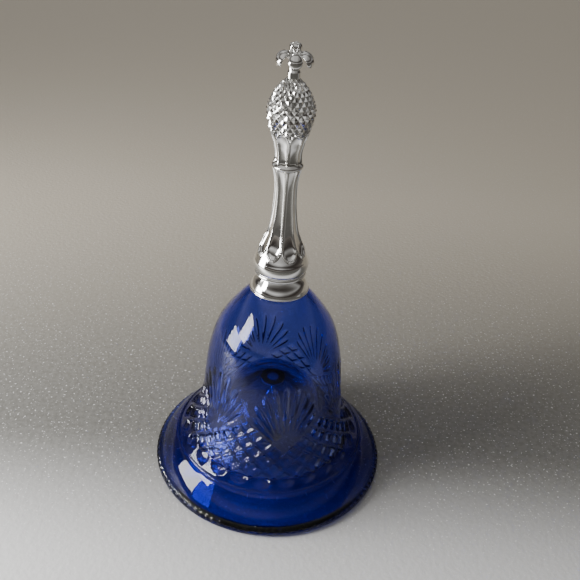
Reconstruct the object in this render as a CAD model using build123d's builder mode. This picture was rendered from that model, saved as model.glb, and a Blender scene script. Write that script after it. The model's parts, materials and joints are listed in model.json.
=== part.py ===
# A hand bell in blue pressed glass with a plated handle.
#
# The glass is a bottle in the shape of a bell: a sealed chamber between the outer wall and a deep
# bell-shaped recess in the base. A clapper hangs in the recess. The handle is the bottle's screw
# cap, and it is built up from a skirt, a fluted stem, a pineapple finial and a crown of leaves.
# Millimetres, +Z up, origin at the centre of the foot.
import math
import os

from build123d import *

os.makedirs("parts", exist_ok=True)

# ---- driving dimensions ----
rim_radius = 49.2  # widest point of the foot rim
wall = 2.4  # glass thickness
flute_count = 8
leaf_count = 6
inner_leaf_count = 3

# glass, from the foot up
rim_z = 1.9
foot_outer_radius = 47.4
foot_inner_radius = 44.4
flange_low = (46.8, 4.2)
flange_high = (39.5, 13.5)
ledge = (38.5, 14.2)
shoulder_end = (11.0, 84.3)
neck_radius = 5.6
neck_root_z = 87.0
neck_top_z = 98.0
neck_bore_radius = 3.6
crown_z = 40.0  # underside of the recess's crown
crown_flat_radius = 7.0

# screw closure
thread_pitch = 2.1
thread_depth = 0.75
thread_turns = 2.0
thread_start_z = 90.2
liner_bore_radius = 6.6
liner_radius = 7.5
liner_bottom_z = 87.8
liner_top_z = 100.2
wad_top_z = 99.0
wad_bottom_z = 98.1
wad_radius = 6.2

# handle
skirt_bottom_z = 85.0
skirt_radius = 11.4
skirt_neck_radius = 8.4
skirt_top_z = 91.8
bead_radius = 9.9
bead_top_z = 93.5
cup_radius = 10.45
cup_z = 95.9
stem_top_z = 134.0
ring_radius = 5.6
ring_top_z = 136.0
finial_top_z = 147.0
pineapple_radius = 8.1
pineapple_wide_z = 154.2
pineapple_top_z = 166.6
spigot_radius = 2.2
spigot_length = 5.0
crown_top_z = 175.8
core_radius = 1.95

# clapper
wire = 0.6
link_wire = 0.5
play = 0.1  # running gap between hooked wires
mount_radius = 5.0
mount_thickness = 1.2
eye_loop_radius = 1.7
eye_wire_z = 35.7  # centre of the eye's lowest wire, where the link pivots
link_loop_radius = 2.2
rod_loop_radius = 1.8
rod_radius = 0.8
ball_radius = 6.5
ball_z = 14.0
rivet_radius = 1.6


def finish(piece, name):
    """Labels a finished piece and writes it as its own node."""
    piece.part.label = name
    export_step(piece.part, f"parts/{name}.step")


def thread_bead(root_radius, depth, start_z, turns, root_half, crest_half):
    """A helical bead of trapezoid section. A negative depth points towards the axis."""
    overlap = 0.25 if depth > 0 else -0.25
    with BuildPart() as bead:
        with BuildLine() as path:
            Helix(thread_pitch, turns * thread_pitch, root_radius, center=(0, 0, start_z))
        section_plane = Plane(origin=path.line @ 0, x_dir=(1, 0, 0), z_dir=path.line % 0)
        with BuildSketch(section_plane):
            with BuildLine():
                Polyline(
                    (-overlap, -root_half),
                    (depth, -crest_half),
                    (depth, crest_half),
                    (-overlap, root_half),
                    close=True,
                )
            make_face()
        sweep(is_frenet=True)
    return bead.part


neck_thread = thread_bead(neck_radius, thread_depth, thread_start_z, thread_turns, 0.55, 0.22)
liner_thread = thread_bead(
    liner_bore_radius, -thread_depth, thread_start_z - thread_pitch / 2, thread_turns, 0.55, 0.22
)

# ---- glass bell: outer wall, flange and neck, less the chamber and the recess ----
with BuildPart() as glass_body:
    with BuildSketch(Plane.XZ):
        with BuildLine():
            Polyline((0, 0), (foot_outer_radius, 0))
            ThreePointArc((foot_outer_radius, 0), (rim_radius, rim_z), flange_low)
            ThreePointArc(flange_low, (43.5, 9.2), flange_high)
            Line(flange_high, ledge)
            Spline(
                ledge,
                (34.3, 19.2),
                (30.9, 26.8),
                (28.9, 37.0),
                (27.9, 47.5),
                (26.4, 58.0),
                (23.3, 68.2),
                (18.0, 76.4),
                shoulder_end,
                tangents=[(-1, 0.95), (-1, 0.85)],
            )
            Line(shoulder_end, (neck_radius, neck_root_z))
            Polyline((neck_radius, neck_root_z), (neck_radius, neck_top_z), (0, neck_top_z), (0, 0))
        make_face()
    revolve(axis=Axis.Z)
    with BuildSketch(Plane.XZ):  # the chamber, and its mouth through the neck
        with BuildLine():
            Polyline(
                (0, neck_top_z + 1),
                (neck_bore_radius, neck_top_z + 1),
                (neck_bore_radius, neck_root_z - 1.6),
                (9.2, 82.4),
            )
            Spline(
                (9.2, 82.4),
                (16.1, 74.9),
                (21.1, 67.2),
                (24.0, 57.5),
                (25.5, 47.2),
                (26.5, 36.7),
                (28.6, 26.6),
                (31.6, 20.4),
                (33.5, 17.0),
                tangents=[(1, -0.95), (0.52, -0.85)],
            )
            ThreePointArc((33.5, 17.0), (32.9, 15.35), (31.2, 15.8))
            Spline(
                (31.2, 15.8),
                (27.4, 19.0),
                (22.6, 27.0),
                (19.4, 34.4),
                (8.0, crown_z + wall),
                tangents=[(-0.85, 0.55), (-1, 0.06)],
            )
            Polyline((8.0, crown_z + wall), (0, crown_z + wall), (0, neck_top_z + 1))
        make_face()
    revolve(axis=Axis.Z, mode=Mode.SUBTRACT)
    with BuildSketch(Plane.XZ):  # the recess that the clapper hangs in
        with BuildLine():
            Polyline((0, crown_z), (0, -1), (foot_inner_radius, -1), (foot_inner_radius, 0))
            Line((foot_inner_radius, 0), (36.0, 8.6))
            Spline(
                (36.0, 8.6),
                (26.2, 17.2),
                (20.4, 26.5),
                (17.4, 33.6),
                (crown_flat_radius, crown_z),
                tangents=[(-1, 1.02), (-1, 0.05)],
            )
            Line((crown_flat_radius, crown_z), (0, crown_z))
        make_face()
    revolve(axis=Axis.Z, mode=Mode.SUBTRACT)
    add(neck_thread)
finish(glass_body, "glass_body")

# ---- threaded liner, pressed into the handle, and the sealing wad under its roof ----
with BuildPart() as cap_liner:
    with BuildSketch(Plane.XY.offset(liner_bottom_z)):
        Circle(liner_radius)
    extrude(amount=liner_top_z - liner_bottom_z)
    with BuildSketch(Plane.XY.offset(liner_bottom_z)):
        Circle(liner_bore_radius)
    extrude(amount=wad_top_z - liner_bottom_z, mode=Mode.SUBTRACT)
    chamfer(cap_liner.edges().filter_by(GeomType.CIRCLE).group_by(Axis.Z)[-1], 0.4)
    add(liner_thread)
finish(cap_liner, "cap_liner")

with BuildPart() as seal_wad:
    with BuildSketch(Plane.XY.offset(wad_bottom_z)):
        Circle(wad_radius)
    extrude(amount=wad_top_z - wad_bottom_z)
finish(seal_wad, "seal_wad")

# ---- handle skirt: a flare that covers the bottle's neck ----
with BuildPart() as handle_skirt:
    with BuildSketch(Plane.XZ):
        with BuildLine():
            Line((10.2, skirt_bottom_z + 0.9), (skirt_radius - 0.1, skirt_bottom_z))
            ThreePointArc(
                (skirt_radius - 0.1, skirt_bottom_z),
                (skirt_radius + 0.1, skirt_bottom_z + 0.5),
                (skirt_radius - 0.15, skirt_bottom_z + 0.95),
            )
            Spline(
                (skirt_radius - 0.15, skirt_bottom_z + 0.95),
                (10.9, 87.2),
                (10.1, 88.7),
                (9.1, 90.2),
                (skirt_neck_radius, 91.4),
                tangents=[(0, 1), (-0.5, 1)],
            )
            Polyline(
                (skirt_neck_radius, 91.4),
                (skirt_neck_radius, skirt_top_z),
                (liner_radius, skirt_top_z),
                (liner_radius, 89.6),
                (8.7, 88.8),
                (10.2, skirt_bottom_z + 0.9),
            )
        make_face()
    revolve(axis=Axis.Z)
finish(handle_skirt, "handle_skirt")

with BuildPart() as collar_bead:
    with BuildSketch(Plane.XZ):
        with BuildLine():
            Polyline((liner_radius, bead_top_z), (liner_radius, skirt_top_z), (9.1, skirt_top_z))
            ThreePointArc((9.1, skirt_top_z), (bead_radius, 92.65), (9.1, bead_top_z))
            Line((9.1, bead_top_z), (liner_radius, bead_top_z))
        make_face()
    revolve(axis=Axis.Z)
finish(collar_bead, "collar_bead")

# ---- fluted stem with its base cup ----
flute_bottom = 0.87  # floor of a flute, as a share of the ridge radius
flute_reach = 1.11  # radius of a flute's cutter, as a share of the ridge radius
stem_ridge = [(4.5, 131.8), (3.85, 128.0), (3.75, 122.5), (4.3, 116.5), (5.5, 110.0), (7.6, 105.0)]


def flute_cutter(stations):
    """A tapering round cutter with a ball at each end, beside the ridge radius at each station."""
    reach = [(r * (flute_bottom + flute_reach), r * flute_reach, z) for r, z in stations]
    with BuildPart() as cutter:
        for x, radius, z in reach:
            with BuildSketch(Plane.XY.offset(z)):
                with Locations((x, 0)):
                    Circle(radius)
        loft(ruled=True)
        for x, radius, z in (reach[0], reach[-1]):
            with Locations((x, 0, z)):
                Sphere(radius)
    return cutter.part


stem_flute = flute_cutter(stem_ridge)
with BuildPart() as handle_stem:
    with BuildSketch(Plane.XZ):
        with BuildLine():
            Polyline((0, stem_top_z), (0, bead_top_z), (9.6, bead_top_z))
            ThreePointArc((9.6, bead_top_z), (cup_radius, cup_z), (9.9, 98.8))
            Spline(
                (9.9, 98.8),
                (7.6, 103.8),
                (5.4, 109.6),
                (4.3, 116.0),
                (3.75, 123.0),
                (3.85, 129.0),
                (5.0, stem_top_z),
                tangents=[(-0.35, 1), (0.4, 1)],
            )
            Line((5.0, stem_top_z), (0, stem_top_z))
        make_face()
    revolve(axis=Axis.Z)
    with PolarLocations(0, flute_count, start_angle=180 / flute_count):
        add(stem_flute, mode=Mode.SUBTRACT)
    with BuildSketch(Plane.XY.offset(bead_top_z)):
        Circle(liner_radius)
    extrude(amount=liner_top_z - bead_top_z, mode=Mode.SUBTRACT)
    with BuildSketch(Plane.XY.offset(stem_top_z)):  # socket for the finial's spigot
        Circle(spigot_radius)
    extrude(amount=-spigot_length, mode=Mode.SUBTRACT)
finish(handle_stem, "handle_stem")

with BuildPart() as stem_ring:
    with BuildSketch(Plane.XZ):
        with BuildLine():
            Polyline((spigot_radius, ring_top_z), (spigot_radius, stem_top_z), (5.1, stem_top_z))
            ThreePointArc((5.1, stem_top_z), (ring_radius, 134.7), (5.2, 135.4))
            Polyline((5.2, 135.4), (4.75, ring_top_z), (spigot_radius, ring_top_z))
        make_face()
    revolve(axis=Axis.Z)
finish(stem_ring, "stem_ring")

# ---- finial: fluted calyx with a spigot, then the pineapple ----
calyx_ridge = [(6.4, 146.6), (4.9, 141.8), (4.4, 138.4), (4.7, 136.5)]
calyx_flute = flute_cutter(calyx_ridge)
with BuildPart() as finial_calyx:
    with BuildSketch(Plane.XZ):
        with BuildLine():
            Polyline((0, finial_top_z), (0, ring_top_z), (4.75, ring_top_z))
            Spline(
                (4.75, ring_top_z),
                (4.4, 138.6),
                (4.8, 141.6),
                (6.6, finial_top_z),
                tangents=[(-0.4, 1), (0.42, 1)],
            )
            Line((6.6, finial_top_z), (0, finial_top_z))
        make_face()
    revolve(axis=Axis.Z)
    with PolarLocations(0, flute_count, start_angle=180 / flute_count):
        add(calyx_flute, mode=Mode.SUBTRACT)
    with BuildSketch(Plane.XY.offset(stem_top_z - spigot_length)):
        Circle(spigot_radius)
    extrude(amount=ring_top_z - stem_top_z + spigot_length)
    with BuildSketch(Plane.XY.offset(finial_top_z)):  # socket for the pineapple's spigot
        Circle(spigot_radius)
    extrude(amount=-spigot_length, mode=Mode.SUBTRACT)
finish(finial_calyx, "finial_calyx")

with BuildPart() as pineapple:
    with BuildSketch(Plane.XZ):
        with BuildLine():
            Polyline((0, pineapple_top_z), (0, finial_top_z), (6.6, finial_top_z))
            Spline(
                (6.6, finial_top_z),
                (pineapple_radius, pineapple_wide_z),
                (6.3, 159.6),
                (3.0, 163.9),
                tangents=[(0.3, 1), (-0.6, 0.8)],
            )
            Polyline((3.0, 163.9), (2.3, 164.8), (2.3, pineapple_top_z), (0, pineapple_top_z))
        make_face()
    revolve(axis=Axis.Z)
    with BuildSketch(Plane.XY.offset(finial_top_z - spigot_length)):
        Circle(spigot_radius)
    extrude(amount=spigot_length)
    with BuildSketch(Plane.XY.offset(pineapple_top_z)):  # socket for the crown's peg
        Circle(1.2)
    extrude(amount=-4.0, mode=Mode.SUBTRACT)
finish(pineapple, "pineapple")

# ---- crown: a core on a peg, curled outer leaves and upright inner leaves ----
with BuildPart() as crown_core:
    with BuildSketch(Plane.XZ):
        with BuildLine():
            Polyline((0, 172.5), (0, pineapple_top_z - 4.0), (1.2, pineapple_top_z - 4.0))
            Polyline((1.2, pineapple_top_z - 4.0), (1.2, pineapple_top_z), (2.2, pineapple_top_z))
            Polyline((2.2, pineapple_top_z), (core_radius, 167.4), (core_radius, 170.5), (1.3, 172.5))
            Line((1.3, 172.5), (0, 172.5))
        make_face()
    revolve(axis=Axis.Z)
finish(crown_core, "crown_core")


def leaf(side_points, thickness, half_width):
    """A bent strip along side_points in the XZ plane, cut to a rounded leaf outline."""
    root, bend, tip = side_points
    reach = max(root[0], bend[0], tip[0]) + thickness
    with BuildPart() as strip:
        with BuildSketch(Plane.XZ.offset(-half_width)):
            with BuildLine():
                outer_line = ThreePointArc(root, bend, tip)
                offset(outer_line, amount=thickness, side=Side.RIGHT)
            make_face()
        extrude(amount=2 * half_width)
        with BuildSketch(Plane.XY.offset(root[1] - 12)):
            with BuildLine():
                Line((0, -half_width), (reach - half_width, -half_width))
                ThreePointArc((reach - half_width, -half_width), (reach, 0), (reach - half_width, half_width))
                Polyline((reach - half_width, half_width), (0, half_width), (0, -half_width))
            make_face()
        extrude(amount=24, mode=Mode.INTERSECT)
    return strip.part


outer_leaf = [(1.75, 168.6), (4.1, 172.1), (5.7, 169.0)]
one_outer_leaf = leaf(outer_leaf, 0.8, 2.1)
with BuildPart() as crown_outer_leaves:
    with PolarLocations(0, leaf_count, start_angle=-90):
        add(one_outer_leaf)
    with Locations((0, 0, 170)):
        Cylinder(core_radius, 12, mode=Mode.SUBTRACT)
finish(crown_outer_leaves, "crown_outer_leaves")

inner_leaf = [(0.5, 172.5), (2.0, 174.4), (1.3, crown_top_z)]
one_inner_leaf = leaf(inner_leaf, 0.6, 1.5)
with BuildPart() as crown_inner_leaves:
    with PolarLocations(0, inner_leaf_count, start_angle=90):
        add(one_inner_leaf)
    with Locations((0, 0, 172.5)):
        Box(12, 12, 4, align=(Align.CENTER, Align.CENTER, Align.MAX), mode=Mode.SUBTRACT)
finish(crown_inner_leaves, "crown_inner_leaves")

# ---- clapper: mount cemented under the crown, wire eye, link, rod and ball ----
with BuildPart() as clapper_mount:
    with BuildSketch(Plane.XY.offset(crown_z)):
        Circle(mount_radius)
    extrude(amount=-mount_thickness)
    fillet(clapper_mount.edges().filter_by(GeomType.CIRCLE).group_by(Axis.Z)[0], 0.4)
finish(clapper_mount, "clapper_mount")

eye_top_z = crown_z - mount_thickness
with BuildPart() as clapper_eye:
    with BuildLine() as eye_path:
        Line((-eye_loop_radius, 0, eye_top_z), (-eye_loop_radius, 0, eye_wire_z + eye_loop_radius))
        ThreePointArc(
            (-eye_loop_radius, 0, eye_wire_z + eye_loop_radius),
            (0, 0, eye_wire_z),
            (eye_loop_radius, 0, eye_wire_z + eye_loop_radius),
        )
        Line((eye_loop_radius, 0, eye_wire_z + eye_loop_radius), (eye_loop_radius, 0, eye_top_z))
    with BuildSketch(Plane(origin=(-eye_loop_radius, 0, eye_top_z), z_dir=(0, 0, -1))):
        Circle(wire)
    sweep()
finish(clapper_eye, "clapper_eye")

link_centre_z = eye_wire_z + wire + link_wire + play - link_loop_radius
link_low_z = link_centre_z - link_loop_radius
with BuildPart() as clapper_link:
    with Locations(Plane(origin=(0, 0, link_centre_z), z_dir=(1, 0, 0))):
        Torus(link_loop_radius, link_wire)
finish(clapper_link, "clapper_link")

rod_loop_z = link_low_z + link_wire + wire + play - rod_loop_radius
rod_top_z = rod_loop_z - rod_loop_radius
with BuildPart() as clapper_rod:
    with Locations(Plane(origin=(0, 0, rod_loop_z), z_dir=(0, 1, 0))):
        Torus(rod_loop_radius, wire)
    with BuildSketch(Plane.XY.offset(rod_top_z)):
        Circle(rod_radius)
    extrude(amount=-(rod_top_z - ball_z + ball_radius))
    with BuildSketch(Plane.XY.offset(ball_z - ball_radius)):  # peened end that holds the ball
        Circle(rivet_radius)
    extrude(amount=-0.8)
finish(clapper_rod, "clapper_rod")

with BuildPart() as clapper_ball:
    with Locations((0, 0, ball_z)):
        Sphere(ball_radius)
    with BuildSketch(Plane.XY.offset(ball_z - ball_radius - 1)):
        Circle(rod_radius)
    extrude(amount=2 * ball_radius + 2, mode=Mode.SUBTRACT)
    with BuildSketch(Plane.XY.offset(ball_z - ball_radius)):
        Circle(rivet_radius + 0.8)
    extrude(amount=-1.0, mode=Mode.SUBTRACT)
finish(clapper_ball, "clapper_ball")
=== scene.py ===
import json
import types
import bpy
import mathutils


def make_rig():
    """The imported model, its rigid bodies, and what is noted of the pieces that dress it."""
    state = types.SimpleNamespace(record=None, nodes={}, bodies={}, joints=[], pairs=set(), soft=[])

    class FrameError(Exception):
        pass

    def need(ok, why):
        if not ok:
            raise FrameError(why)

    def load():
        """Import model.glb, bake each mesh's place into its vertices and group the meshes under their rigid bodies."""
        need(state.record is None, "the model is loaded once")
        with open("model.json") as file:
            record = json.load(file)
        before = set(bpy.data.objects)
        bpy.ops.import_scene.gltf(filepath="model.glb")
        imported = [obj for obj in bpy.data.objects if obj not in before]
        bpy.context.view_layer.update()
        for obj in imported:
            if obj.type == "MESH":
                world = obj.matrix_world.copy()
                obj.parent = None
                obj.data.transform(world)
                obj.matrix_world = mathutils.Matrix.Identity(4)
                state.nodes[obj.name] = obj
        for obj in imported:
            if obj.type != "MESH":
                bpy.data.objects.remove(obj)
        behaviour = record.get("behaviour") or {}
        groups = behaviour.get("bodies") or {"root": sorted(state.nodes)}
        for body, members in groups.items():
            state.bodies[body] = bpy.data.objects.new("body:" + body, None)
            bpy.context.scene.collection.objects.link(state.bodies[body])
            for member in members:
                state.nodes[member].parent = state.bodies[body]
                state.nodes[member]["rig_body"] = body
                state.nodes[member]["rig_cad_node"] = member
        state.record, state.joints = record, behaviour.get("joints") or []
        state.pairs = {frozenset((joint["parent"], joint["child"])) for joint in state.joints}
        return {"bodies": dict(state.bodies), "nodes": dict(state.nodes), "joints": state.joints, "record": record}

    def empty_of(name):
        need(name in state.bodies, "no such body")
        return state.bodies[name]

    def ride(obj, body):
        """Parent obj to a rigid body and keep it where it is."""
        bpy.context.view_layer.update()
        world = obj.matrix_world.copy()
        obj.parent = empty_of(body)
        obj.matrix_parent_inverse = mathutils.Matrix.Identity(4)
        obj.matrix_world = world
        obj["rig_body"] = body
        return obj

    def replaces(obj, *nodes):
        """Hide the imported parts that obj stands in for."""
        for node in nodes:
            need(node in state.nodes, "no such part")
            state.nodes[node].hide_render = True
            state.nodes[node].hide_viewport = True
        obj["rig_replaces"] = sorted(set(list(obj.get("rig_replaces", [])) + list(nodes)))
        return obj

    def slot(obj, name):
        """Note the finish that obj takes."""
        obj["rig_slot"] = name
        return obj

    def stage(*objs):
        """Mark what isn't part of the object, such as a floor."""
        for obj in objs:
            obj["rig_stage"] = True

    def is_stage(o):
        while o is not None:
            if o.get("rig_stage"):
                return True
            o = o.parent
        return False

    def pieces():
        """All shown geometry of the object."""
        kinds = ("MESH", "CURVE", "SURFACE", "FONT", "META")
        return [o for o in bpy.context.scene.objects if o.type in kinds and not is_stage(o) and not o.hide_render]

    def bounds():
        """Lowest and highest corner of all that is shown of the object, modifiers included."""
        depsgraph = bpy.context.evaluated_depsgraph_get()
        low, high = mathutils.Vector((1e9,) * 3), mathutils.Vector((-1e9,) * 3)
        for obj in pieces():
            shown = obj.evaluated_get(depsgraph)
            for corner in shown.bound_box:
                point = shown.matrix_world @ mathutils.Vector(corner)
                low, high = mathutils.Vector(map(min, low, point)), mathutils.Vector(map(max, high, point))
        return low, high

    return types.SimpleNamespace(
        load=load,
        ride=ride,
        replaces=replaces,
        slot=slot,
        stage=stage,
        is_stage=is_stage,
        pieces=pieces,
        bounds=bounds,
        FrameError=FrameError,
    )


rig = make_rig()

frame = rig.load()

import json
import math

import bmesh
import bpy
from mathutils import Matrix, Vector

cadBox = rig.bounds()
mm = 0.001
print("frame loaded")


class Wire:  # a node's output that sums can be written on
    def __init__(self, tree, socket):
        self.tree, self.socket = tree, socket

    def maths(self, operation, *others):
        values = {0: self, **{i + 1: other for i, other in enumerate(others)}}
        return self.tree.node("ShaderNodeMath", {"operation": operation}, values)

    def __add__(self, other):
        return self.maths("ADD", other)

    def __mul__(self, other):
        return self.maths("MULTIPLY", other)

    def __sub__(self, other):
        return self.maths("SUBTRACT", other)

    def __rsub__(self, other):
        return self * -1 + other

    def __truediv__(self, other):
        return self.maths("DIVIDE", other)

    def __lt__(self, other):
        return self.maths("LESS_THAN", other)

    def __gt__(self, other):
        return self.maths("GREATER_THAN", other)

    def __abs__(self):
        return self.maths("ABSOLUTE")

    def __round__(self):
        return self.maths("ROUND")

    __radd__ = __add__
    __rmul__ = __mul__


def pick(sockets, key):
    if isinstance(key, int):
        return sockets[key]
    return next(s for s in sockets if s.name == key and s.enabled)


class Tree:  # a node tree, and the one way that nodes are put in it
    def __init__(self, nodeTree):
        self.nodeTree = nodeTree

    def node(self, kind, settings=None, sockets=None, output=0):
        made = self.nodeTree.nodes.new(kind)
        for key, value in (settings or {}).items():
            if key == "stops":
                ramp = made.color_ramp.elements
                while len(ramp) < len(value):
                    ramp.new(0.5)
                for stop, (place, colour) in zip(ramp, value):
                    stop.position, stop.color = place, colour
            else:
                setattr(made, key, value)
        for key, value in (sockets or {}).items():
            socket = pick(made.inputs, key)
            if isinstance(value, Wire):
                self.nodeTree.links.new(value.socket, socket)
            else:
                socket.default_value = value
        return Wire(self, pick(made.outputs, output)) if len(made.outputs) else None

    def mix(self, amount, first, second):
        sockets = {"Factor": amount, "A": first, "B": second}
        return self.node("ShaderNodeMix", {"data_type": "RGBA"}, sockets, "Result")

    def noise(self, scale, detail=3.0, coordinates=None):
        where = coordinates or self.node("ShaderNodeTexCoord", output="Object")
        return self.node("ShaderNodeTexNoise", None, {"Vector": where, "Scale": scale, "Detail": detail})


def smooth(wire, low, high):  # 0 at low, 1 at high, eased between
    ranges = {"Value": wire, "From Min": low, "From Max": high, "To Min": 0.0, "To Max": 1.0}
    return wire.tree.node("ShaderNodeMapRange", {"interpolation_type": "SMOOTHSTEP"}, ranges)


def choose(mask, ifOne, ifZero):
    return mask * ifOne + (1 - mask) * ifZero


def larger(first, second):
    return first.maths("MAXIMUM", second)


def lengthOf(first, second):
    return (first * first + second * second).maths("SQRT")


# materials


def newMaterial(name):
    material = bpy.data.materials.new(name)
    material.use_nodes = True
    material.node_tree.nodes.clear()
    return material, Tree(material.node_tree)


def finishMaterial(tree, surface, volume=None):
    sockets = {"Surface": surface}
    if volume is not None:
        sockets["Volume"] = volume
    tree.node("ShaderNodeOutputMaterial", None, sockets)


blueGlassLook = {
    "clear": (0.80, 0.86, 1.0, 1),
    "streak": (0.72, 0.80, 0.98, 1),
    "absorbed": (0.20, 0.28, 0.86, 1),
    "density": 470.0,
    "index": 1.42,
    "waviness": 0.05,
}


def makeBlueGlass(look):
    material, tree = newMaterial("blueGlass")
    streaks = tree.noise(22.0, 2.0)
    swirl = smooth(streaks, 0.35, 0.7)
    fine = tree.noise(300.0, 2.0)
    waves = {"Strength": look["waviness"], "Distance": 0.0006, "Height": tree.noise(60.0, 1.0)}
    bump = tree.node("ShaderNodeBump", None, waves)
    surface = tree.node(
        "ShaderNodeBsdfPrincipled",
        None,
        {
            "Base Color": tree.mix(swirl, look["clear"], look["streak"]),
            "Roughness": 0.02 + smooth(fine, 0.45, 0.8) * 0.03,
            "IOR": look["index"],
            "Transmission Weight": 1.0,
            "Normal": bump,
        },
    )
    tint = {"Color": look["absorbed"], "Density": look["density"]}
    volume = tree.node("ShaderNodeVolumeAbsorption", None, tint)
    finishMaterial(tree, surface, volume)
    return material


platingLook = {
    "bright": (0.93, 0.93, 0.92, 1),
    "dull": (0.72, 0.71, 0.68, 1),
    "hollow": (0.34, 0.32, 0.30, 1),
    "roughness": 0.07,
    "scratches": 0.08,
}


def makePlating(look):
    material, tree = newMaterial("platedMetal")
    cloud = smooth(tree.noise(90.0, 4.0), 0.4, 0.75)
    depth = tree.node("ShaderNodeAttribute", {"attribute_name": "hollow"}, None, "Fac")
    grime = smooth(depth, 0.5, 1.5) * smooth(tree.noise(700.0, 3.0), 0.2, 0.65)
    where = tree.node("ShaderNodeTexCoord", output="Object")
    stretched = tree.node("ShaderNodeMapping", None, {"Vector": where, "Scale": (1.0, 1.0, 0.08)})
    scratches = tree.noise(2600.0, 2.0, stretched)
    scored = {"Strength": look["scratches"], "Distance": 0.00004, "Height": scratches}
    bump = tree.node("ShaderNodeBump", None, scored)
    colour = tree.mix(cloud, look["bright"], look["dull"])
    surface = tree.node(
        "ShaderNodeBsdfPrincipled",
        None,
        {
            "Base Color": tree.mix(grime, colour, look["hollow"]),
            "Metallic": 1.0,
            "Roughness": look["roughness"] + cloud * 0.06 + grime * 0.25,
            "Normal": bump,
        },
    )
    finishMaterial(tree, surface)
    return material


def makePlain(name, light, dark, grain, roughness, bumpHeight, metallic=0.0, stretch=(1, 1, 1)):
    material, tree = newMaterial(name)
    where = tree.node("ShaderNodeTexCoord", output="Object")
    placed = tree.node("ShaderNodeMapping", None, {"Vector": where, "Scale": stretch})
    grains = tree.noise(grain, 4.0, placed)
    broad = tree.noise(grain * 0.12, 2.0, placed)
    mask = smooth(grains * 0.5 + broad * 0.5, 0.35, 0.65)
    bump = tree.node("ShaderNodeBump", None, {"Strength": 0.5, "Distance": bumpHeight, "Height": grains})
    surface = tree.node(
        "ShaderNodeBsdfPrincipled",
        None,
        {
            "Base Color": tree.mix(mask, light, dark),
            "Metallic": metallic,
            "Roughness": roughness + mask * 0.12,
            "Normal": bump,
        },
    )
    finishMaterial(tree, surface)
    return material


blueGlass = makeBlueGlass(blueGlassLook)
platedMetal = makePlating(platingLook)
linerPlastic = makePlain("linerPlastic", (0.80, 0.79, 0.74, 1), (0.70, 0.69, 0.63, 1), 900.0, 0.42, 0.00003)
wadRubber = makePlain("wadRubber", (0.62, 0.60, 0.55, 1), (0.50, 0.48, 0.44, 1), 1400.0, 0.7, 0.00006)
mountCement = makePlain("mountCement", (0.62, 0.62, 0.62, 1), (0.48, 0.48, 0.49, 1), 2200.0, 0.85, 0.0002)
steelWire = makePlain("steelWire", (0.74, 0.74, 0.75, 1), (0.55, 0.55, 0.56, 1), 1800.0, 0.18, 0.00002, 1.0)
brassBall = makePlain(
    "brassBall", (0.83, 0.66, 0.33, 1), (0.62, 0.46, 0.20, 1), 1500.0, 0.16, 0.00002, 1.0, (0.1, 0.1, 1.0)
)
print("materials made")

# outlines in millimetres: (radius, height) points, with the relief that a stretch carries


def straight(first, last, step):
    count = max(1, math.ceil(math.dist(first, last) / step))
    return [tuple(Vector(first).lerp(Vector(last), i / count)) for i in range(count + 1)]


def circleThrough(first, middle, last):  # centre, radius, first angle and signed turn
    (ax, ay), (bx, by), (cx, cy) = first, middle, last
    d = 2 * (ax * (by - cy) + bx * (cy - ay) + cx * (ay - by))
    a2, b2, c2 = ax * ax + ay * ay, bx * bx + by * by, cx * cx + cy * cy
    ux = (a2 * (by - cy) + b2 * (cy - ay) + c2 * (ay - by)) / d
    uy = (a2 * (cx - bx) + b2 * (ax - cx) + c2 * (bx - ax)) / d
    radius = math.dist((ux, uy), first)
    start, mid, end = (math.atan2(y - uy, x - ux) for x, y in (first, middle, last))
    turn = (end - start) % math.tau
    if (mid - start) % math.tau > turn:
        turn -= math.tau
    return ux, uy, radius, start, turn


def arcThrough(first, middle, last, step):
    ux, uy, radius, start, turn = circleThrough(first, middle, last)
    count = max(2, math.ceil(abs(turn) * radius / step))
    angles = [start + turn * i / count for i in range(count + 1)]
    return [(ux + radius * math.cos(a), uy + radius * math.sin(a)) for a in angles]


def curveThrough(points, step, startWay=None, endWay=None):
    spots = [Vector(p) for p in points]
    spans = [(b - a).length for a, b in zip(spots, spots[1:])]
    ways = [Vector(startWay).normalized() if startWay else (spots[1] - spots[0]) / spans[0]]
    for i in range(1, len(spots) - 1):
        ways.append((spots[i + 1] - spots[i - 1]) / (spans[i] + spans[i - 1]))
    ways.append(Vector(endWay).normalized() if endWay else (spots[-1] - spots[-2]) / spans[-1])
    line = [tuple(spots[0])]
    for i, span in enumerate(spans):
        count = max(1, math.ceil(span / step))
        for k in range(1, count + 1):
            t = k / count
            place = (
                spots[i] * (2 * t**3 - 3 * t**2 + 1)
                + ways[i] * span * (t**3 - 2 * t**2 + t)
                + spots[i + 1] * (3 * t**2 - 2 * t**3)
                + ways[i + 1] * span * (t**3 - t**2)
            )
            line.append(tuple(place))
    return line


def outlineOf(*stretches):  # joins (zone, points) stretches and drops the points they share
    outline = []
    for zone, points in stretches:
        for point in points:
            if not outline or math.dist(outline[-1][:2], point) > 0.004:
                outline.append((*point, zone))
            elif zone:
                outline[-1] = (*outline[-1][:2], max(zone, outline[-1][2]))
    return outline


# turned work: an outline carried round the axis, with a relief pushed out along its normal


def outlineMesh(name, outline):
    mesh = bpy.data.meshes.new(name)
    mesh.from_pydata([(r * mm, 0, z * mm) for r, z, _ in outline], [], [])
    mesh.attributes.new("outward", "FLOAT_VECTOR", "POINT")
    mesh.attributes.new("zone", "FLOAT", "POINT")
    outward, zones = mesh.attributes["outward"], mesh.attributes["zone"]
    last = len(outline) - 1
    for i, (r, z, zone) in enumerate(outline):
        before, after = outline[max(0, i - 1)], outline[min(last, i + 1)]
        way = Vector((after[0] - before[0], after[1] - before[1])).normalized()
        outward.data[i].vector = (-way.y, 0, way.x)
        zones.data[i].value = zone
    return mesh


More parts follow.
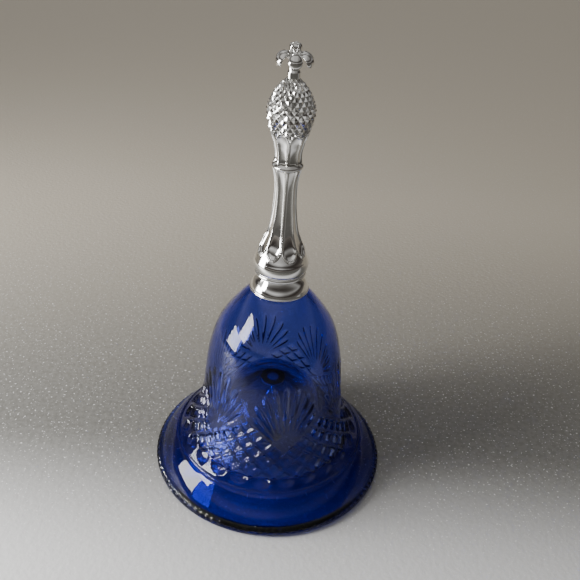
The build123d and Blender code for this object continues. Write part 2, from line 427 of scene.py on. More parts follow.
def turnedTree(name, relief):
    group = bpy.data.node_groups.new(name, "GeometryNodeTree")
    inputs = {"Outline": "Geometry", "Columns": "Int", "Relief": "Float", "Finish": "Material"}
    for label, kind in inputs.items():
        group.interface.new_socket(label, in_out="INPUT", socket_type=f"NodeSocket{kind}")
    group.interface.new_socket("Geometry", in_out="OUTPUT", socket_type="NodeSocketGeometry")
    tree = Tree(group)
    outline = tree.node("NodeGroupInput", output="Outline")
    columns = tree.node("NodeGroupInput", output="Columns")
    amount = tree.node("NodeGroupInput", output="Relief")
    finish = tree.node("NodeGroupInput", output="Finish")
    counting = "GeometryNodeAttributeDomainSize"
    rows = tree.node(counting, {"component": "MESH"}, {"Geometry": outline}, "Point Count")
    sizes = {"Size X": 1.0, "Size Y": 1.0, "Vertices X": columns + 1, "Vertices Y": rows}
    grid = tree.node("GeometryNodeMeshGrid", None, sizes, "Mesh")
    index = tree.node("GeometryNodeInputIndex")
    column = ((index + 0.5) / rows).maths("FLOOR")
    row = round(index - column * rows)

    def fromOutline(kind, value):
        sockets = {"Geometry": outline, "Value": value, "Index": row}
        return tree.node("GeometryNodeSampleIndex", {"data_type": kind, "domain": "POINT"}, sockets, "Value")

    def named(kind, label):
        return tree.node("GeometryNodeInputNamedAttribute", {"data_type": kind}, {"Name": label}, "Attribute")

    place = fromOutline("FLOAT_VECTOR", tree.node("GeometryNodeInputPosition"))
    way = fromOutline("FLOAT_VECTOR", named("FLOAT_VECTOR", "outward"))
    zone = fromOutline("FLOAT", named("FLOAT", "zone"))
    if relief:  # stretches without relief keep every third column
        column = choose(zone < 0.5, (column / 3).maths("FLOOR") * 3, column)
    radius = tree.node("ShaderNodeSeparateXYZ", None, {0: place}, "X")
    height = tree.node("ShaderNodeSeparateXYZ", None, {0: place}, "Z")
    wayOut = tree.node("ShaderNodeSeparateXYZ", None, {0: way}, "X")
    wayUp = tree.node("ShaderNodeSeparateXYZ", None, {0: way}, "Z")
    angle = column * 360.0 / columns - 180.0  # 0 at the front, where y is lowest
    raised = relief(angle, height / mm, radius / mm, zone) if relief else angle * 0.0
    push = raised * amount * mm
    turn = angle * math.radians(1)
    reach = radius + wayOut * push
    spot = tree.node(
        "ShaderNodeCombineXYZ",
        None,
        {"X": reach * turn.maths("SINE"), "Y": reach * turn.maths("COSINE") * -1, "Z": height + wayUp * push},
    )
    stored = tree.node(
        "GeometryNodeStoreNamedAttribute",
        {"data_type": "FLOAT", "domain": "POINT"},
        {"Geometry": grid, "Name": "hollow", "Value": raised * -1},
    )
    moved = tree.node("GeometryNodeSetPosition", None, {"Geometry": stored, "Position": spot})
    merged = tree.node("GeometryNodeMergeByDistance", None, {"Geometry": moved, "Distance": 1e-6})
    shaded = tree.node("GeometryNodeSetShadeSmooth", None, {"Geometry": merged})
    real = tree.node("GeometryNodeRealizeInstances", None, {"Geometry": shaded})
    painted = tree.node("GeometryNodeSetMaterial", None, {"Geometry": real, "Material": finish})
    tree.node("NodeGroupOutput", None, {"Geometry": painted})
    return group


def runTree(name, mesh, group, values, finish):
    base = bpy.data.objects.new(name + "Base", mesh)
    bpy.context.scene.collection.objects.link(base)
    modifier = base.modifiers.new("shape", "NODES")
    modifier.node_group = group
    for item in group.interface.items_tree:
        if item.in_out == "INPUT" and item.name in values:
            modifier[item.identifier] = values[item.name]
    shaped = base.evaluated_get(bpy.context.evaluated_depsgraph_get())
    made = bpy.data.meshes.new_from_object(shaped)
    base.modifiers.remove(modifier)
    bpy.data.objects.remove(base)
    made.name = name
    made.materials.clear()
    made.materials.append(finish)
    return made


def closeUp(mesh, sharpAngle):  # one closed skin with its faces outwards
    work = bmesh.new()
    work.from_mesh(mesh)
    bmesh.ops.remove_doubles(work, verts=work.verts, dist=1e-6)
    bmesh.ops.dissolve_degenerate(work, edges=work.edges, dist=1e-7)
    bmesh.ops.recalc_face_normals(work, faces=work.faces)
    work.to_mesh(mesh)
    work.free()
    mesh.set_sharp_from_angle(angle=math.radians(sharpAngle))
    mesh.validate()


def place(name, mesh, body, slotName, *nodes):
    piece = bpy.data.objects.new(name, mesh)
    bpy.context.scene.collection.objects.link(piece)
    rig.ride(piece, body)
    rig.replaces(piece, *nodes)
    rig.slot(piece, slotName)


def turned(name, outline, columns, finish, relief=None, sharpAngle=40):
    group = turnedTree(name + "Turning", relief)
    values = {"Columns": columns, "Relief": 1.0, "Finish": finish}
    mesh = runTree(name, outlineMesh(name + "Outline", outline), group, values, finish)
    closeUp(mesh, sharpAngle)
    print(name, len(mesh.polygons), "faces")
    return mesh


# glass bell

glass = {
    "footOuter": (47.4, 0.0),
    "rimMiddle": (49.1, 1.9),
    "flangeLow": (46.8, 4.2),
    "flangeMiddle": (43.5, 9.2),
    "flangeHigh": (40.0, 13.1),
    "groove": [(38.75, 13.5), (39.1, 13.15), (39.5, 13.3)],
    "ledge": (38.5, 14.2),
    "wall": [
        (34.3, 19.2), (30.9, 26.8), (28.9, 37.0), (27.9, 47.5), (26.4, 58.0), (23.3, 68.2), (18.0, 76.4),
    ],
    "shoulderEnd": (11.0, 84.3),
    "neckRoot": (5.6, 87.0),
    "neckTop": 98.0,
    "bore": 3.6,
    "boreFoot": (3.6, 85.4),
    "threadSpan": (95.6, 89.0),  # heights between which the neck carries its thread
    "chamber": [
        (9.2, 82.4), (16.1, 74.9), (21.1, 67.2), (24.0, 57.5), (25.5, 47.2),
        (26.5, 36.7), (28.6, 26.6), (31.6, 20.4), (33.5, 17.0),
    ],
    "chamberFoot": [(33.5, 17.0), (32.9, 15.35), (31.2, 15.8)],
    "chamberFloor": [(31.2, 15.8), (27.4, 19.0), (22.6, 27.0), (19.4, 34.4), (8.0, 42.4)],
    "footInner": (44.4, 0.0),
    "recess": [(36.0, 8.6), (26.2, 17.2), (20.4, 26.5), (17.4, 33.6), (7.0, 40.0)],
    "columns": 456,
}
lattice = {
    "columns": 24,
    "repeats": 6,
    "firstAngle": 12.5,
    "lowestRow": 17.7,
    "rowHeight": 3.2,
    "ribbon": 0.1,
    "edge": 0.5,
    "depth": 1.3,
}
fan = {
    "foot": 28.3,
    "radius": 28.4,
    "spacing": 10.5,
    "sideRays": 4,
    "inner": 5.5,
    "outer": 28.5,
    "shorter": 0.62,
    "halfWidth": 1.75,
    "depth": 0.85,
    "edge": 1.1,
}
rim = {"beads": 108, "notch": 0.5, "low": 2.3, "high": 3.9}
thread = {"pitch": 2.1, "start": 90.2, "depth": 0.75, "rootHalf": 0.55, "crestHalf": 0.22}


def zoneIs(zone, number):
    return abs(zone - number) < 0.25


def latticeRelief(u, height):
    v = (height - lattice["lowestRow"]) / lattice["rowHeight"]
    rising, falling = (u + v) * 0.5, (u - v) * 0.5
    risingCell, fallingCell = round(rising), round(falling)
    cellU, cellV = risingCell + fallingCell, risingCell - fallingCell
    reach = larger(abs(rising - risingCell), abs(falling - fallingCell)) * 2
    inside = (cellV < abs(cellU) + 2.5) * (cellV > -0.5)
    below = v < 0
    across = u - round(u * 0.5) * 2
    reach = choose(below, lengthOf(across, v / 0.9), reach)
    inside = choose(below, 1.0, inside)
    cell = smooth(reach, 1 - lattice["ribbon"], 1 - lattice["ribbon"] - lattice["edge"])
    return inside * cell * -lattice["depth"]


def fanRelief(u, height):
    halfColumn = math.radians(180 / lattice["columns"])
    x, y = u * halfColumn * fan["radius"], height - fan["foot"]
    distance = lengthOf(x, y)
    way = x.maths("ARCTAN2", y) * math.degrees(1)
    ray = round(way / fan["spacing"]).maths("MINIMUM", fan["sideRays"]).maths("MAXIMUM", -fan["sideRays"])
    across = abs(distance * ((way - ray * fan["spacing"]) * math.radians(1)).maths("SINE"))
    outer = fan["outer"] - ray * ray * fan["shorter"]
    along = (distance - fan["inner"]) / (outer - fan["inner"])
    within = (along > 0) * (along < 1) * (abs(way) < 90)
    along = along.maths("MAXIMUM", 0.0).maths("MINIMUM", 1.0)
    tip = (1 - along.maths("POWER", 8.0)).maths("SQRT")
    halfWidth = along * (1.6 - along * 0.6) * tip * fan["halfWidth"]
    return within * smooth(halfWidth - across, 0.0, fan["edge"]) * -fan["depth"]


def glassRelief(angle, height, radius, zone):
    u = (angle - lattice["firstAngle"]) / (180 / lattice["columns"])
    period = 2 * lattice["columns"] / lattice["repeats"]
    u = u - round(u / period) * period
    wall = latticeRelief(u, height) + fanRelief(u, height)
    beads = ((angle * math.radians(rim["beads"]) + math.radians(45)).maths("COSINE") < 0) * -rim["notch"]
    beads = beads * (height > rim["low"]) * (height < rim["high"])
    fromRight = angle - 90
    fromRight = fromRight + (fromRight < -0.001) * 360
    turns = (height - thread["start"]) / thread["pitch"] - fromRight / 360
    nearest = round(turns)
    crest = smooth(abs(turns - nearest) * thread["pitch"], thread["rootHalf"], thread["crestHalf"])
    crest = crest * (nearest > -0.5) * (nearest < 1.5) * thread["depth"]
    return zoneIs(zone, 1) * wall + zoneIs(zone, 2) * beads + zoneIs(zone, 3) * crest


def glassOutline():
    g = glass
    neck, top, bore = g["neckRoot"][0], g["neckTop"], g["bore"]
    threadTop, threadFoot = g["threadSpan"]
    wall = [g["ledge"], *g["wall"], g["shoulderEnd"]]
    fine = curveThrough(wall, 0.5, (-1, 0.95), (-1, 0.85))
    wallLine = [p for i, p in enumerate(fine) if p[1] < 59 or i % 3 == 0 or p == fine[-1]]
    return outlineOf(
        (0, straight((0, g["chamberFloor"][-1][1]), g["chamberFloor"][-1], 3)),
        (0, curveThrough(g["chamberFloor"], 1.6, (-0.85, 0.55), (-1, 0.06))[::-1]),
        (0, arcThrough(*g["chamberFoot"], 0.8)[::-1]),
        (0, curveThrough(g["chamber"], 2.4, (1, -0.95), (0.52, -0.85))[::-1]),
        (0, straight(g["chamber"][0], g["boreFoot"], 2.5)),
        (0, straight(g["boreFoot"], (bore, top - 0.5), 3)),
        (0, arcThrough((bore, top - 0.5), (bore + 0.15, top - 0.15), (bore + 0.5, top), 0.3)),
        (0, arcThrough((neck - 0.5, top), (neck - 0.15, top - 0.15), (neck, top - 0.5), 0.3)),
        (0, straight((neck, top - 0.5), (neck, threadTop), 1.5)),
        (3, straight((neck, threadTop), (neck, threadFoot), 0.3)),
        (0, straight((neck, threadFoot), g["neckRoot"], 1)),
        (0, straight(g["neckRoot"], g["shoulderEnd"], 2)),
        (1, wallLine[::-1]),
        (0, curveThrough([g["ledge"], *g["groove"], g["flangeHigh"]], 0.22)),
        (0, arcThrough(g["flangeHigh"], g["flangeMiddle"], g["flangeLow"], 1.2)),
        (2, arcThrough(g["flangeLow"], g["rimMiddle"], g["footOuter"], 0.38)),
        (0, straight(g["footOuter"], g["footInner"], 1.5)),
        (0, straight(g["footInner"], g["recess"][0], 2.5)),
        (0, curveThrough(g["recess"], 2.2, (-1, 1.02), (-1, 0.05))),
        (0, straight(g["recess"][-1], (0, g["recess"][-1][1]), 3)),
    )


glassMesh = turned("glassBell", glassOutline(), glass["columns"], blueGlass, glassRelief, 50)
place("glassBell", glassMesh, "bell", "blue_glass", "glass_body")

# handle: skirt, bead, fluted stem, ring, calyx, pineapple

skirt = {
    "bore": 7.5,
    "boreFoot": 89.6,
    "top": 91.8,
    "inside": [(8.7, 88.8), (10.2, 85.9)],
    "lipUnder": (10.9, 85.05),
    "lipTip": (11.4, 85.5),
    "lipOver": (11.42, 85.75),
    "flare": [(11.2, 85.98), (10.9, 87.0), (10.1, 88.7), (9.1, 90.2), (8.4, 91.4)],
    "neckRound": [(8.38, 91.68), (8.2, 91.8)],
}
bead = {"low": 91.8, "wide": 92.65, "high": 93.5, "radius": 9.9, "edge": 9.1}
stem = {
    "cup": [(9.6, 93.5), (10.45, 95.9), (9.9, 98.8)],
    "shaft": [
        (9.9, 98.8), (7.6, 103.8), (5.4, 109.6), (4.3, 116.0), (3.75, 123.0), (3.85, 129.0), (5.0, 134.0),
    ],
    "socket": 2.2,
    "socketFoot": 129.0,
    "top": 134.0,
    "linerTop": 100.2,
    "flutes": 8,
    "petalFoot": 101.0,
    "petalRound": 5.0,
    "fluteTop": (150.0, 5.0),  # above the stem, so its flutes run out at the top
    "depth": 0.12,
    "rimHeight": 0.38,
    "columns": 320,
}
ring = {
    "low": 134.0,
    "high": 136.0,
    "bore": 2.2,
    "side": [(5.1, 134.0), (5.6, 134.7), (5.2, 135.4)],
    "top": (4.75, 136.0),
}
calyx = {
    "side": [(4.75, 136.0), (4.4, 138.6), (4.8, 141.6), (6.6, 147.0)],
    "top": 147.0,
    "spigot": 2.2,
    "spigotFoot": 129.0,
    "fluteFoot": (100.0, 5.0),  # below the calyx, so its flutes run out at the foot
    "archFoot": 143.4,
    "archRise": 4.6,
    "depth": 0.13,
    "step": 0.1,
    "stepRise": (141.5, 144.0),
}
pine = {
    "side": [(6.6, 147.0), (8.1, 154.2), (6.3, 159.6), (3.0, 163.9)],
    "neck": (2.3, 164.8),
    "top": 166.6,
    "fade": (163.2, 164.2),
    "around": 20,
    "rowHeight": 1.4,
    "firstRow": 143.2,
    "pyramid": 0.62,
    "spigotFoot": 142.0,
    "pegHole": 1.2,
    "pegFoot": 162.6,
    "rowsEach": 8,
    "columns": 320,
}


def fluteReach(angle, radius, height, low, lowRound, high, highRound):
    sector = 360 / stem["flutes"]
    across = (angle - sector / 2) / sector
    across = (across - round(across)) * 2  # -1 to 1 over one flute
    under = ((low + lowRound - height) / lowRound).maths("MAXIMUM", 0.0)
    over = ((height - high + highRound) / highRound).maths("MAXIMUM", 0.0)
    reach = (across * across + under * under + over * over).maths("SQRT")
    inset = (1 - reach) * radius * math.radians(sector / 2)  # distance inside the flute's edge
    return reach, inset


def fluteRelief(reach, inset, radius, depth):
    scoop = (1 - (reach * reach).maths("MINIMUM", 1.0)) * radius * -depth
    line = 1 - smooth(abs(inset - 0.05), 0.1, 0.36)
    return scoop * smooth(inset, 0.1, 0.8) + line * stem["rimHeight"]


def stemRelief(angle, height, radius, zone):
    s = stem
    reach, inset = fluteReach(angle, radius, height, s["petalFoot"], s["petalRound"], *s["fluteTop"])
    return zoneIs(zone, 1) * fluteRelief(reach, inset, radius, s["depth"])


def diamondRelief(angle, height):
    u = angle / (180 / pine["around"])
    v = (height - pine["firstRow"]) / pine["rowHeight"]
    rising, falling = (u + v) * 0.5, (u - v) * 0.5
    reach = larger(abs(rising - round(rising)), abs(falling - round(falling))) * 2
    return (0.65 - reach) * pine["pyramid"]


def finialRelief(angle, height, radius, zone):
    c = calyx
    archTop = c["archFoot"] + c["archRise"]
    reach, inset = fluteReach(angle, radius, height, *c["fluteFoot"], archTop, c["archRise"])
    flute = fluteRelief(reach, inset, radius, c["depth"]) - c["step"] * smooth(height, *c["stepRise"])
    fruit = (reach > 1.0) * (height > c["archFoot"])
    fade = smooth(height, pine["fade"][1], pine["fade"][0])
    return zoneIs(zone, 1) * choose(fruit, diamondRelief(angle, height) * fade, flute)


def ringOutline(inside, bulge):  # a ring of metal: its bore, then its bulging side
    return outlineOf((0, straight(inside[0], inside[1], 2)), (0, bulge), (0, [inside[0]]))


def evenRows(points, startWay, endWay):  # a side whose rows fall on the diamonds' corners
    fine = curveThrough(points, 0.05, startWay, endWay)
    step = pine["rowHeight"] / pine["rowsEach"]
    line = [fine[0]]
    lowest = math.floor((fine[0][1] - pine["firstRow"]) / step)
    highest = math.ceil((fine[-1][1] - pine["firstRow"]) / step)
    for k in range(lowest, highest + 1):
        height = pine["firstRow"] + k * step
        for (r0, z0), (r1, z1) in zip(fine, fine[1:]):
            if z0 <= height < z1 and line[-1][1] + step * 0.3 < height < fine[-1][1] - step * 0.3:
                line.append((r0 + (r1 - r0) * (height - z0) / (z1 - z0), height))
                break
    return [*line, fine[-1]]


skirtOutline = outlineOf(
    (0, straight((skirt["bore"], skirt["top"]), (skirt["bore"], skirt["boreFoot"]), 2)),
    (0, straight((skirt["bore"], skirt["boreFoot"]), skirt["inside"][0], 1)),
    (0, straight(*skirt["inside"], 1)),
    (0, arcThrough(skirt["inside"][-1], skirt["lipUnder"], skirt["lipTip"], 0.18)),
    (0, arcThrough(skirt["lipTip"], skirt["lipOver"], skirt["flare"][0], 0.12)),
    (0, curveThrough(skirt["flare"], 0.35, (-0.5, 0.8), (-0.5, 1))),
    (0, arcThrough(skirt["flare"][-1], *skirt["neckRound"], 0.15)),
    (0, straight(skirt["neckRound"][-1], (skirt["bore"], skirt["top"]), 1)),
)
skirtMesh = turned("handleSkirt", skirtOutline, 160, platedMetal)
place("handleSkirt", skirtMesh, "closure", "plated_metal", "handle_skirt")

beadOutline = ringOutline(
    [(skirt["bore"], bead["high"]), (skirt["bore"], bead["low"])],
    arcThrough((bead["edge"], bead["low"]), (bead["radius"], bead["wide"]), (bead["edge"], bead["high"]), 0.16),
)
beadMesh = turned("collarBead", beadOutline, 160, platedMetal)
place("collarBead", beadMesh, "closure", "plated_metal", "collar_bead")

stemOutline = outlineOf(
    (0, straight((0, stem["socketFoot"]), (stem["socket"], stem["socketFoot"]), 1.2)),
    (0, straight((stem["socket"], stem["socketFoot"]), (stem["socket"], stem["top"]), 2)),
    (0, straight((stem["socket"], stem["top"]), stem["shaft"][-1], 1)),
    (1, curveThrough(stem["shaft"], 0.4, (-0.35, 1), (0.4, 1))[::-1]),
    (1, arcThrough(*stem["cup"], 0.25)[::-1]),
    (0, straight(stem["cup"][0], (skirt["bore"], bead["high"]), 1)),
    (0, straight((skirt["bore"], bead["high"]), (skirt["bore"], stem["linerTop"]), 2)),
    (0, straight((skirt["bore"], stem["linerTop"]), (0, stem["linerTop"]), 2)),
)
stemMesh = turned("handleStem", stemOutline, stem["columns"], platedMetal, stemRelief)
place("handleStem", stemMesh, "closure", "plated_metal", "handle_stem")

stemRingOutline = ringOutline(
    [(ring["bore"], ring["high"]), (ring["bore"], ring["low"])],
    [*arcThrough(*ring["side"], 0.14), ring["top"]],
)
stemRingMesh = turned("stemRing", stemRingOutline, 128, platedMetal)
place("stemRing", stemRingMesh, "closure", "plated_metal", "stem_ring")

calyxOutline = outlineOf(
    (0, straight((0, pine["spigotFoot"]), (calyx["spigot"], pine["spigotFoot"]), 1.2)),
    (0, straight((calyx["spigot"], pine["spigotFoot"]), (calyx["spigot"], calyx["top"]), 2)),
    (0, straight((calyx["spigot"], calyx["top"]), calyx["side"][-1], 1.5)),
    (1, evenRows(calyx["side"], (-0.4, 1), (0.42, 1))[::-1]),
    (0, straight(calyx["side"][0], (calyx["spigot"], ring["high"]), 1)),
    (0, straight((calyx["spigot"], ring["high"]), (calyx["spigot"], calyx["spigotFoot"]), 2)),
    (0, straight((calyx["spigot"], calyx["spigotFoot"]), (0, calyx["spigotFoot"]), 1.2)),
)
calyxMesh = turned("finialCalyx", calyxOutline, pine["columns"], platedMetal, finialRelief)
place("finialCalyx", calyxMesh, "closure", "plated_metal", "finial_calyx")

pineOutline = outlineOf(
    (0, straight((0, pine["pegFoot"]), (pine["pegHole"], pine["pegFoot"]), 0.8)),
    (0, straight((pine["pegHole"], pine["pegFoot"]), (pine["pegHole"], pine["top"]), 2)),
    (0, straight((pine["pegHole"], pine["top"]), (pine["neck"][0], pine["top"]), 0.7)),
    (0, straight((pine["neck"][0], pine["top"]), pine["neck"], 0.8)),
    (0, straight(pine["neck"], pine["side"][-1], 0.4)),
    (1, evenRows(pine["side"], (0.3, 1), (-0.6, 0.8))[::-1]),
    (0, straight(pine["side"][0], (calyx["spigot"], calyx["top"]), 1.5)),
    (0, straight((calyx["spigot"], calyx["top"]), (calyx["spigot"], pine["spigotFoot"]), 2)),
    (0, straight((calyx["spigot"], pine["spigotFoot"]), (0, pine["spigotFoot"]), 1.2)),
)
pineMesh = turned("pineapple", pineOutline, pine["columns"], platedMetal, finialRelief, 30)
place("pineappleBody", pineMesh, "closure", "plated_metal", "pineapple")

# crown of leaves: each leaf a flattened tube bent along an arc, closed at both ends


def leafTree(name):
    group = bpy.data.node_groups.new(name, "GeometryNodeTree")
    group.interface.new_socket("Base", in_out="INPUT", socket_type="NodeSocketGeometry")  # has to be first
    for label in ("Leaves", "Seed"):
        group.interface.new_socket(label, in_out="INPUT", socket_type="NodeSocketInt")
    outlineSizes = ("Half Width", "Half Thickness", "Cup")
    arcSizes = ("Centre Reach", "Centre Height", "Arc Radius", "Arc Start", "Arc Turn")
    for label in (*outlineSizes, *arcSizes, "First Angle", "Scatter"):
        group.interface.new_socket(label, in_out="INPUT", socket_type="NodeSocketFloat")
    group.interface.new_socket("Finish", in_out="INPUT", socket_type="NodeSocketMaterial")
    group.interface.new_socket("Geometry", in_out="OUTPUT", socket_type="NodeSocketGeometry")
    tree = Tree(group)

    def given(label):
        return tree.node("NodeGroupInput", output=label)

    around, along = leafGrid["around"], leafGrid["along"]
    sockets = {"Size X": 1.0, "Size Y": 1.0, "Vertices X": around + 1, "Vertices Y": along + 1}
    grid = tree.node("GeometryNodeMeshGrid", None, sockets, "Mesh")
    index = tree.node("GeometryNodeInputIndex")
    column = ((index + 0.5) / (along + 1)).maths("FLOOR")
    share = round(index - column * (along + 1)) / along
    turn = column * (math.tau / around)
    root = (1 - (1 - share).maths("POWER", 10.0)).maths("SQRT")
    tip = (1 - share.maths("POWER", 7.0)).maths("MAXIMUM", 0.0).maths("SQRT")
    envelope = root * tip * (share * 0.7 + 0.3)
    across = turn.maths("COSINE") * envelope * given("Half Width")
    thick = turn.maths("SINE") * root * tip * given("Half Thickness")
    rib = (1 - smooth(abs(across), 0.0, 0.5)) * smooth(thick, 0.0, 0.2) * -leafGrid["rib"]
    theta = given("Arc Start") + given("Arc Turn") * share
    reach = given("Arc Radius") + thick - across * across * given("Cup") + rib * tip
    spot = tree.node(
        "ShaderNodeCombineXYZ",
        None,
        {
            "X": (given("Centre Reach") + reach * theta.maths("COSINE")) * mm,
            "Y": across * mm,
            "Z": (given("Centre Height") + reach * theta.maths("SINE")) * mm,
        },
    )
    bent = tree.node("GeometryNodeSetPosition", None, {"Geometry": grid, "Position": spot})
    closed = tree.node("GeometryNodeMergeByDistance", None, {"Geometry": bent, "Distance": 1e-6})
    spots = {"Count": given("Leaves"), "Offset": (0.0, 0.0, 0.0)}
    marks = tree.node("GeometryNodeMeshLine", {"mode": "OFFSET"}, spots)
    number = tree.node("GeometryNodeInputIndex")
    chance = {"Min": -1.0, "Max": 1.0, "ID": number, "Seed": given("Seed")}
    drift = tree.node("FunctionNodeRandomValue", {"data_type": "FLOAT"}, chance, "Value")
    facing = given("First Angle") + number * 360.0 / given("Leaves") + drift * given("Scatter")
    euler = tree.node("ShaderNodeCombineXYZ", None, {"Z": facing * math.radians(1)})
    rotation = tree.node("FunctionNodeEulerToRotation", None, {"Euler": euler})
    standing = {"Points": marks, "Instance": closed, "Rotation": rotation}
    whorl = tree.node("GeometryNodeInstanceOnPoints", None, standing)
    real = tree.node("GeometryNodeRealizeInstances", None, {"Geometry": whorl})
    shaded = tree.node("GeometryNodeSetShadeSmooth", None, {"Geometry": real})
    painted = tree.node("GeometryNodeSetMaterial", None, {"Geometry": shaded, "Material": given("Finish")})
    tree.node("NodeGroupOutput", None, {"Geometry": painted})
    return group


leafGrid = {"around": 28, "along": 26, "rib": 0.16}
outerLeaves = {
    "points": ((1.6, 168.6), (4.1, 172.3), (6.0, 168.6)),
    "leaves": 6,
    "halfWidth": 3.0,
    "halfThick": 0.5,
    "cup": 0.12,
    "first": -90.0,
    "scatter": 4.0,
    "seed": 3,
}
innerLeaves = {
    "points": ((0.8, 171.6), (1.9, 173.7), (1.3, 175.8)),
    "leaves": 3,
    "halfWidth": 1.5,
    "halfThick": 0.32,
    "cup": 0.2,
    "first": 90.0,
    "scatter": 6.0,
    "seed": 8,
}
whorlTree = leafTree("leafWhorl")


def leafWhorl(name, sizes):
    x, z, radius, start, turn = circleThrough(*sizes["points"])
    values = {
        "Leaves": sizes["leaves"],
        "Seed": sizes["seed"],
        "Half Width": sizes["halfWidth"],
        "Half Thickness": sizes["halfThick"],
        "Cup": sizes["cup"],
        "Centre Reach": x,
        "Centre Height": z,
        "Arc Radius": radius,
        "Arc Start": start,
        "Arc Turn": turn,
        "First Angle": sizes["first"],
        "Scatter": sizes["scatter"],
        "Finish": platedMetal,
    }
    mesh = runTree(name, bpy.data.meshes.new(name + "Base"), whorlTree, values, platedMetal)
    closeUp(mesh, 60)
    print(name, len(mesh.polygons), "faces")
    return mesh


outerMesh = leafWhorl("crownOuterLeaves", outerLeaves)
place("crownOuterLeaves", outerMesh, "closure", "plated_metal", "crown_outer_leaves")
innerMesh = leafWhorl("crownInnerLeaves", innerLeaves)
place("crownInnerLeaves", innerMesh, "closure", "plated_metal", "crown_inner_leaves")
print("handle made")

# floor, light and camera

floorLook = {
    # painted light: a bright pool on the near floor
    "bright": (0.93, 0.93, 0.93, 1),
    "pale": (0.235, 0.23, 0.215, 1),
    "speck": (0.18, 0.175, 0.16, 1),
    # painted light: the far floor lighter and warmer, where the lamps fall off
    "warm": (0.76, 0.69, 0.57, 1),
    "shaded": (0.20, 0.195, 0.18, 1),
    "spark": (1, 1, 1, 1),
    "warmFrom": (0.0, 0.3),
    "brightFrom": (0.01, -0.08),
    "shadedFrom": (-0.08, -0.19),
    "size": 16.0,
}


def makeFloor(look):
    material, tree = newMaterial("paleFloor")
    specks = tree.noise(420.0, 3.0)
    broad = tree.noise(6.0, 2.0)
    mask = smooth(specks, 0.42, 0.62) * 0.6 + smooth(broad, 0.3, 0.7) * 0.25
    spark = smooth(tree.noise(900.0, 1.0), 0.66, 0.72)
    where = tree.node("ShaderNodeTexCoord", output="Object")
    away = tree.node("ShaderNodeSeparateXYZ", None, {0: where}, "Y")
    ground = tree.mix(mask, look["pale"], look["speck"])
    # painted light: the far floor and a near pool made lighter; then painted shade nearer still, out of view
    for tone in ("warm", "bright", "shaded"):
        ground = tree.mix(smooth(away, *look[tone + "From"]), ground, look[tone])
    bump = tree.node("ShaderNodeBump", None, {"Strength": 0.3, "Distance": 0.0006, "Height": specks})
    surface = tree.node(
        "ShaderNodeBsdfPrincipled",
        None,
        {
            "Base Color": tree.mix(spark * 0.7, ground, look["spark"]),
            "Roughness": 0.6 - spark * 0.25,
            "Normal": bump,
        },
    )
    finishMaterial(tree, surface)
    mesh = bpy.data.meshes.new("floor")
    half = look["size"] / 2
    corners = [(-half, -half, 0), (half, -half, 0), (half, half, 0), (-half, half, 0)]
    mesh.from_pydata(corners, [], [(0, 1, 2, 3)])
    mesh.materials.append(material)
    floor = bpy.data.objects.new("floor", mesh)
    bpy.context.scene.collection.objects.link(floor)
    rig.stage(floor)


makeFloor(floorLook)

lights = {
    "window": {
        "place": (-0.43, -0.07, 0.12),
        "aim": (0, 0, 0.05),
        "size": (0.2, 0.15),
        "power": 2.0,
        "colour": (1.0, 0.99, 0.97),
    },
    "upper": {
        "place": (-0.37, -0.15, 0.25),
        "aim": (0, 0, 0.07),
        "size": (0.13, 0.12),
        "power": 1.5,
        "colour": (1.0, 0.99, 0.98),
    },
}
for name, light in lights.items():
    lamp = bpy.data.lights.new(name, "AREA")
    lamp.shape = "RECTANGLE"
    lamp.size, lamp.size_y = light["size"]
    lamp.energy, lamp.color = light["power"], light["colour"]
    holder = bpy.data.objects.new(name, lamp)
    bpy.context.scene.collection.objects.link(holder)
    holder.location = light["place"]
    beam = Vector(light["aim"]) - Vector(light["place"])
    holder.rotation_euler = beam.to_track_quat("-Z", "Y").to_euler()

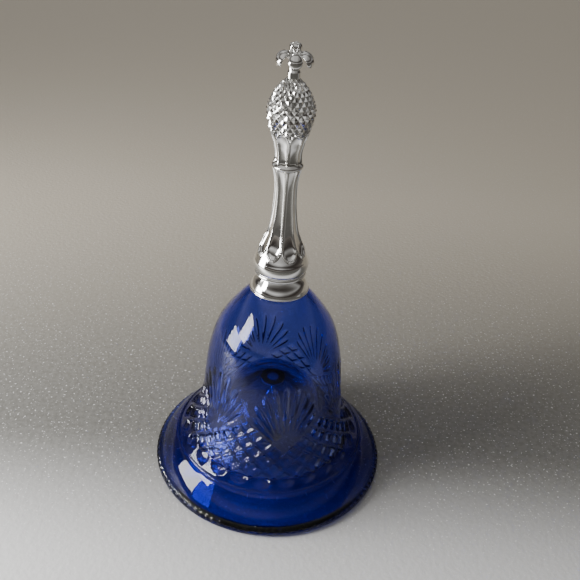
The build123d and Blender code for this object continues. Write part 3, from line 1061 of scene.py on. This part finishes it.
room = {
    "dark": (0.045, 0.038, 0.034, 1),
    "grey": (0.20, 0.19, 0.18, 1),
    "light": (0.85, 0.84, 0.82, 1),
    "horizon": (0.33, 0.30, 0.27, 1),
    "darkSide": (-0.2, 0.5),
    "darkShare": 0.65,
    "strength": 0.8,
}
room["bands"] = [  # from the horizon up to straight overhead
    (0.0, room["horizon"]),
    (0.14, room["dark"]),
    (0.21, room["dark"]),
    (0.32, room["light"]),
    (0.5, room["grey"]),
    (0.62, room["dark"]),
    (0.78, room["light"]),
    (1.0, room["light"]),
]
world = bpy.data.worlds.new("room")
bpy.context.scene.world = world
world.use_nodes = True
world.node_tree.nodes.clear()
roomTree = Tree(world.node_tree)
skyWay = roomTree.node("ShaderNodeTexCoord", output="Generated")
skyHeight = roomTree.node("ShaderNodeSeparateXYZ", None, {0: skyWay}, "Z")
roomRight = roomTree.node("ShaderNodeSeparateXYZ", None, {0: skyWay}, "X")
roomColour = roomTree.node("ShaderNodeValToRGB", {"stops": room["bands"]}, {"Fac": skyHeight}, "Color")
darkened = smooth(roomRight, *room["darkSide"]) * room["darkShare"]
roomColour = roomTree.mix(darkened, roomColour, room["dark"])
background = roomTree.node("ShaderNodeBackground", None, {"Color": roomColour, "Strength": room["strength"]})
roomTree.node("ShaderNodeOutputWorld", None, {"Surface": background})

view = {"place": (0, -0.2231, 0.2219), "pitch": 31.72, "yaw": 1.1, "roll": 4.55, "lens": 42.14}


def makeCamera(view):
    pitch, yaw, roll = (math.radians(view[k]) for k in ("pitch", "yaw", "roll"))
    ahead = Vector((math.sin(yaw) * math.cos(pitch), math.cos(yaw) * math.cos(pitch), -math.sin(pitch)))
    right = ahead.cross(Vector((0, 0, 1))).normalized()
    up = right.cross(ahead)
    across = right * math.cos(roll) + up * math.sin(roll)
    upright = up * math.cos(roll) - right * math.sin(roll)
    lens = bpy.data.cameras.new("camera")
    lens.lens, lens.sensor_width = view["lens"], 36.0
    camera = bpy.data.objects.new("camera", lens)
    bpy.context.scene.collection.objects.link(camera)
    turn = Matrix((across, upright, -ahead)).transposed().to_4x4()
    camera.matrix_world = Matrix.Translation(view["place"]) @ turn
    bpy.context.scene.camera = camera


makeCamera(view)

cadFinishes = {
    "cap_liner": linerPlastic,
    "seal_wad": wadRubber,
    "clapper_mount": mountCement,
    "clapper_eye": steelWire,
    "clapper_link": steelWire,
    "clapper_rod": steelWire,
    "clapper_ball": brassBall,
    "crown_core": platedMetal,
}
for node, finish in cadFinishes.items():
    for slot in frame["nodes"][node].material_slots:
        slot.material = finish
print("scene set")

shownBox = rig.bounds()
with open("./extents.json", "w") as out:
    json.dump({"cad": [list(corner) for corner in cadBox], "shown": [list(corner) for corner in shownBox]}, out)
